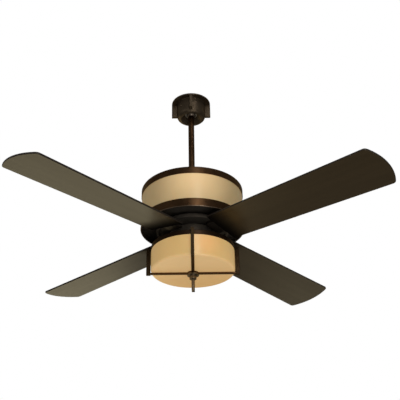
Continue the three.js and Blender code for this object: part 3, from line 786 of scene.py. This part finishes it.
def make_lower_pan():
    """The drum's lower pan: a thin wall, a floor set up inside it and a lip rolled at its foot."""
    low, high = size_of("lower_pan")
    lip, wall, inner, lip_inner = high.x, high.x - 1, high.x - 3, high.x - 4
    lip_foot, lip_side, lip_top = low.z, low.z + 2, low.z + 3
    hole, floor, floor_top = 86.0, low.z + 20, low.z + 23
    piece = turned_piece("lower_pan_fine", [
        (hole, floor, 0.5), (inner, floor, 3.0), (inner, lip_top, 0.4), (lip_inner, lip_side, 0.6),
        (lip_inner, lip_foot, 0.9), (lip, lip_foot, 0.9), (lip, lip_side, 0.9), (wall, lip_top, 0.4),
        (wall, high.z, 0.8), (inner, high.z, 0.5), (inner, floor_top, 0.6), (hole, floor_top, 0.5),
    ], HANGING, BRONZE, ["lower_pan"], 192)
    # The lip's faces get the bright bronze: a painted highlight.
    bright_below, dark_within = (lip_side + 0.2) * MM, (inner + 0.4) * MM
    paint_faces(piece, DARK_BRONZE, lambda at, normal: at.xy.length < dark_within and at.z > bright_below)
    paint_faces(piece, LIP_HIGHLIGHT_BRONZE, lambda at, normal: at.z < bright_below)


make_coupling_cover()
make_top_ring()
make_top_plate()
make_upper_glass()
make_lower_pan()


# ---------------------------------------------------------------- rotor: hub, arms, blades

# The blades' height and half their thickness in millimetres, then the first blade's angle, the pitch and the
# droop in degrees.
BLADE_Z, BLADE_HALF = -545.0, 3.0
FIRST_BLADE, PITCH, DROOP = -41.6, -10.4, 1.2


def arm_frame(index):
    """Level coordinates on the hub at a blade's angle: x out from the axis, z up."""
    return Matrix.Translation((0, 0, BLADE_Z * MM)) @ turn_z(FIRST_BLADE + 90 * index)


def blade_frame(index):
    """Blade coordinates: x out along the blade, y across it, z up through it."""
    droop = Matrix.Rotation(math.radians(DROOP), 4, "Y")
    pitch = Matrix.Rotation(math.radians(PITCH), 4, "X")
    return arm_frame(index) @ droop @ pitch


def make_hub():
    """A disc with a boss round the shaft and a rim turned down at its edge."""
    low, high = size_of("blade_hub")
    rim, boss, bore = high.x, 40.0, 10.0
    rim_inner, web = rim - 8, high.z - 6
    turned_piece("blade_hub_fine", [
        (bore, low.z, 0.4), (boss, low.z, 1.0), (boss, web, 2.0), (rim_inner, web, 2.0),
        (rim_inner, low.z, 1.0), (rim, low.z, 1.6), (rim, high.z, 2.4), (bore, high.z, 0.4),
    ], ROTOR, DARK_BRONZE, ["blade_hub"], 144)


def blade_outline():
    """A square root that widens to a tip struck as one shallow arc, with small round corners."""
    root, reach, sag = 122.0, 711.0, 22.0
    root_half, tip_half, corner, cut = 70.2, 84.6, 8.0, 2.0
    tip_radius = (sag ** 2 + tip_half ** 2) / (2 * sag)
    centre = reach - tip_radius
    sweep = math.asin((tip_half - corner) / tip_radius)
    edge_x = reach - sag
    edge_end, corner_point = Vector((edge_x - corner, -tip_half)), Vector((edge_x, -tip_half))

    def on_tip(angle):
        return Vector((centre + tip_radius * math.cos(angle), tip_radius * math.sin(angle)))

    side = [Vector((root + cut, -root_half)), edge_end]
    side += [curve_point(edge_end, corner_point, on_tip(-sweep), step / 6) for step in range(1, 6)]
    tip = [on_tip(sweep * (step / 16 - 1)) for step in range(33)]
    other_side = [Vector((p.x, -p.y)) for p in reversed(side)]
    return side + tip + other_side + [Vector((root, root_half - cut)), Vector((root, cut - root_half))]


def make_blade(index):
    """A plank with sealed edges."""
    mesh = prism_mesh(blade_outline(), -BLADE_HALF, BLADE_HALF, 1.3)
    piece = finish_piece(f"blade_{index + 1}_plank", mesh, ROTOR, WOOD,
                         [f"blade_{index + 1}"], blade_frame(index))
    paint_faces(piece, EDGE, lambda centre, normal: abs(normal.z) < 0.9)


def make_blade_arm(index):
    """A tongue-shaped plate on top of the blade, with a foot that rises level into the hub."""
    inner, outer, half, shoulder = 84.0, 214.0, 30.0, 26.0
    bottom, top = BLADE_HALF + 0.3, BLADE_HALF + 4.3
    nose_half = half - 14
    plate = prism_mesh(rounded([
        (inner, -half, 4), (outer - shoulder, -half, 14), (outer, -nose_half, 16), (outer, nose_half, 16),
        (outer - shoulder, half, 14), (inner, half, 4),
    ], 6), bottom, top, 0.8)
    foot_end, foot_half, foot_bottom, foot_top = 109.0, 22.0, (bottom + top) / 2, 22.7
    foot = bar_mesh((inner, -foot_half, foot_bottom), (foot_end, foot_half, foot_top), 0)
    to_blade = blade_frame(index).inverted() @ arm_frame(index)
    for vertex in foot.verts:
        if vertex.co.z > (foot_bottom + foot_top) / 2 * MM:
            vertex.co = to_blade @ vertex.co
    add_mesh(plate, foot)
    # The arm's nearly black bronze is painted shade.
    finish_piece(f"blade_arm_{index + 1}_fine", plate, ROTOR, ARM_SHADE_BRONZE,
                 [f"blade_arm_{index + 1}"], blade_frame(index))


def make_blade_screws(index):
    """Three dome-headed screws down through the arm into the blade; the CAD model has the first one."""
    tip, seat = -2.0, 7.6
    shank, head, crown, socket = 2.0, 5.0, 2.6, 1.4
    face, floor = seat + 2.5, seat + 1.2
    for number, (x, y) in enumerate(((168, 0), (192, 16), (192, -16))):
        place = blade_frame(index) @ Matrix.Translation((x * MM, y * MM, 0))
        stands_for = [f"blade_screw_{index + 1}"] if number == 0 else []
        solid_piece(f"blade_screw_{index + 1}_{number + 1}", [
            (0, tip, 0), (shank, tip + 1, 0.3), (shank, seat, 0), (head, seat, 0.3),
            (head - 0.4, seat + 1.6, 1.0), (crown, face, 0.6), (socket, face, 0.1), (socket, floor, 0.1),
            (0, floor, 0),
        ], ROTOR, STEEL, stands_for, 40, place)


make_hub()
for blade_index in range(4):
    make_blade(blade_index)
    make_blade_arm(blade_index)
    make_blade_screws(blade_index)


# ---------------------------------------------------------------- light kit

# The ends of the reversing switch's slot, in millimetres.
SLOT_BOTTOM, SLOT_TOP = BLADE_Z - 20, BLADE_Z - 4


def make_neck():
    """The switch housing, with the reversing switch's slot at the back."""
    low, high = size_of("switch_housing")
    outer, wall, bore = high.x, 3.0, 7.5
    inner, under = outer - wall, high.z - wall
    piece = turned_piece("switch_housing_fine", [
        (inner, low.z, 0.4), (outer, low.z, 0.8), (outer, high.z, 3.0), (bore, high.z, 0.4),
        (bore, under, 0.4), (inner, under, 2.0),
    ], HANGING, DARK_BRONZE, ["switch_housing"], 144)
    half, past = 2.6, 10.0
    cut_box(piece, (-half, outer - past, SLOT_BOTTOM), (half, outer + past, SLOT_TOP))


def make_reversing_switch():
    """A ribbed thumb stem on a shutter plate behind the slot."""
    low, high = size_of("reversing_switch")
    half, plate, bottom, length, proud = 2.2, 3.0, SLOT_BOTTOM + 1, 6.0, 0.6
    rib_half, rib_depth, first_rib, rib_pitch = 0.4, 1.2, 1.2, 1.8
    shutter = bar_mesh(low, (high.x, low.y + plate, high.z), 0.4)
    stem = bar_mesh((-half, low.y + plate / 2, bottom), (half, high.y - proud, bottom + length), 0.4)
    add_mesh(shutter, stem)
    for k in range(3):
        z = bottom + first_rib + rib_pitch * k
        rib = bar_mesh((-half, high.y - rib_depth, z - rib_half), (half, high.y, z + rib_half), 0.25, 2)
        add_mesh(shutter, rib)
    finish_piece("reversing_switch_fine", shutter, SWITCH, PLASTIC, ["reversing_switch"])


def make_fitter_pan():
    """A plain dish upside down over the bowl, with a hole for the finial's stud."""
    low, high = size_of("fitter_pan")
    band, sheet, stud = high.x, 2.0, 3.3
    # The pan's darker bronze is painted shade.
    turned_piece("fitter_pan_fine", [
        (band - sheet, low.z, 0.5), (band, low.z, 0.9), (band, high.z, 2.4), (stud, high.z, 0.3),
        (stud, high.z - sheet, 0.3), (band - sheet, high.z - sheet, 1.0),
    ], HANGING, PAN_SHADE_BRONZE, ["fitter_pan"], 192)


def make_lower_glass():
    """The light bowl: a straight wall, a flat floor and a round corner between them."""
    low, high = size_of("lower_glass")
    outer, inner, floor = high.x, high.x - GLASS_THICKNESS, low.z + GLASS_THICKNESS
    hole, corner = 5.0, 9.0
    turned_piece("light_bowl", [
        (hole, low.z, 0.6), (outer, low.z, corner), (outer, high.z, 1.2), (inner, high.z, 1.2),
        (inner, floor, corner - GLASS_THICKNESS), (hole, floor, 0.6),
    ], HANGING, LOWER_GLASS, ["lower_glass"], 192, steps=10)


def make_cage():
    """Four square posts and a cross of two flat straps with a disc at its middle."""
    low, high = size_of("cage_post_right")
    for side, angle in POSTS:
        post = bar_mesh(low, high, 0.8)
        # The posts' darker bronze is painted shade.
        finish_piece(f"cage_post_{side}_fine", post, HANGING, POST_SHADE_BRONZE,
                     [f"cage_post_{side}"], turn_z(angle))
    low, high = size_of("cage_cross")
    half, hole, disc, inset = 5.25, 4.0, 19.0, 0.1
    bottom, top = low.z + inset, high.z - inset
    cross = bmesh.new()
    for angle in (0, 90):
        add_mesh(cross, bar_mesh((low.x, -half, low.z), (high.x, half, high.z), 0.7), turn_z(angle))
    middle = rounded([(hole, bottom, 0), (disc, bottom, 0.6), (disc, top, 0.6), (hole, top, 0)])
    add_mesh(cross, turned_mesh(middle, 72))
    finish_piece("cage_cross_fine", cross, HANGING, BRONZE, ["cage_cross"])


def make_finial():
    """The cup under the cross with its narrower collar, and the slender finial on its stud."""
    low, high = size_of("finial_cup")
    disc, collar, bore, disc_height = high.x, 11.5, 3.3, 5.3
    step = high.z - disc_height
    # The cup and finial take the lighter bronze: painted highlight.
    turned_piece("finial_cup_fine", [
        (bore, low.z, 0.3), (collar, low.z, 1.4), (collar, step, 1.2), (disc, step, 1.4), (disc, high.z, 1.0),
        (bore, high.z, 0.3),
    ], HANGING, KNOB_LIT_BRONZE, ["finial_cup"], 96, steps=6)
    gap = 0.3
    top = low.z - gap
    low, high = size_of("finial")
    knob, stud = high.x, 3.0
    solid_piece("finial_fine", [
        (0, low.z, 0), (knob, low.z, 1.6), (knob, top, 0.4), (stud, top, 0.2), (stud, high.z, 0.6),
        (0, high.z, 0),
    ], HANGING, KNOB_LIT_BRONZE, ["finial"], 64)


make_neck()
make_reversing_switch()
make_fitter_pan()
make_lower_glass()
make_cage()
make_finial()
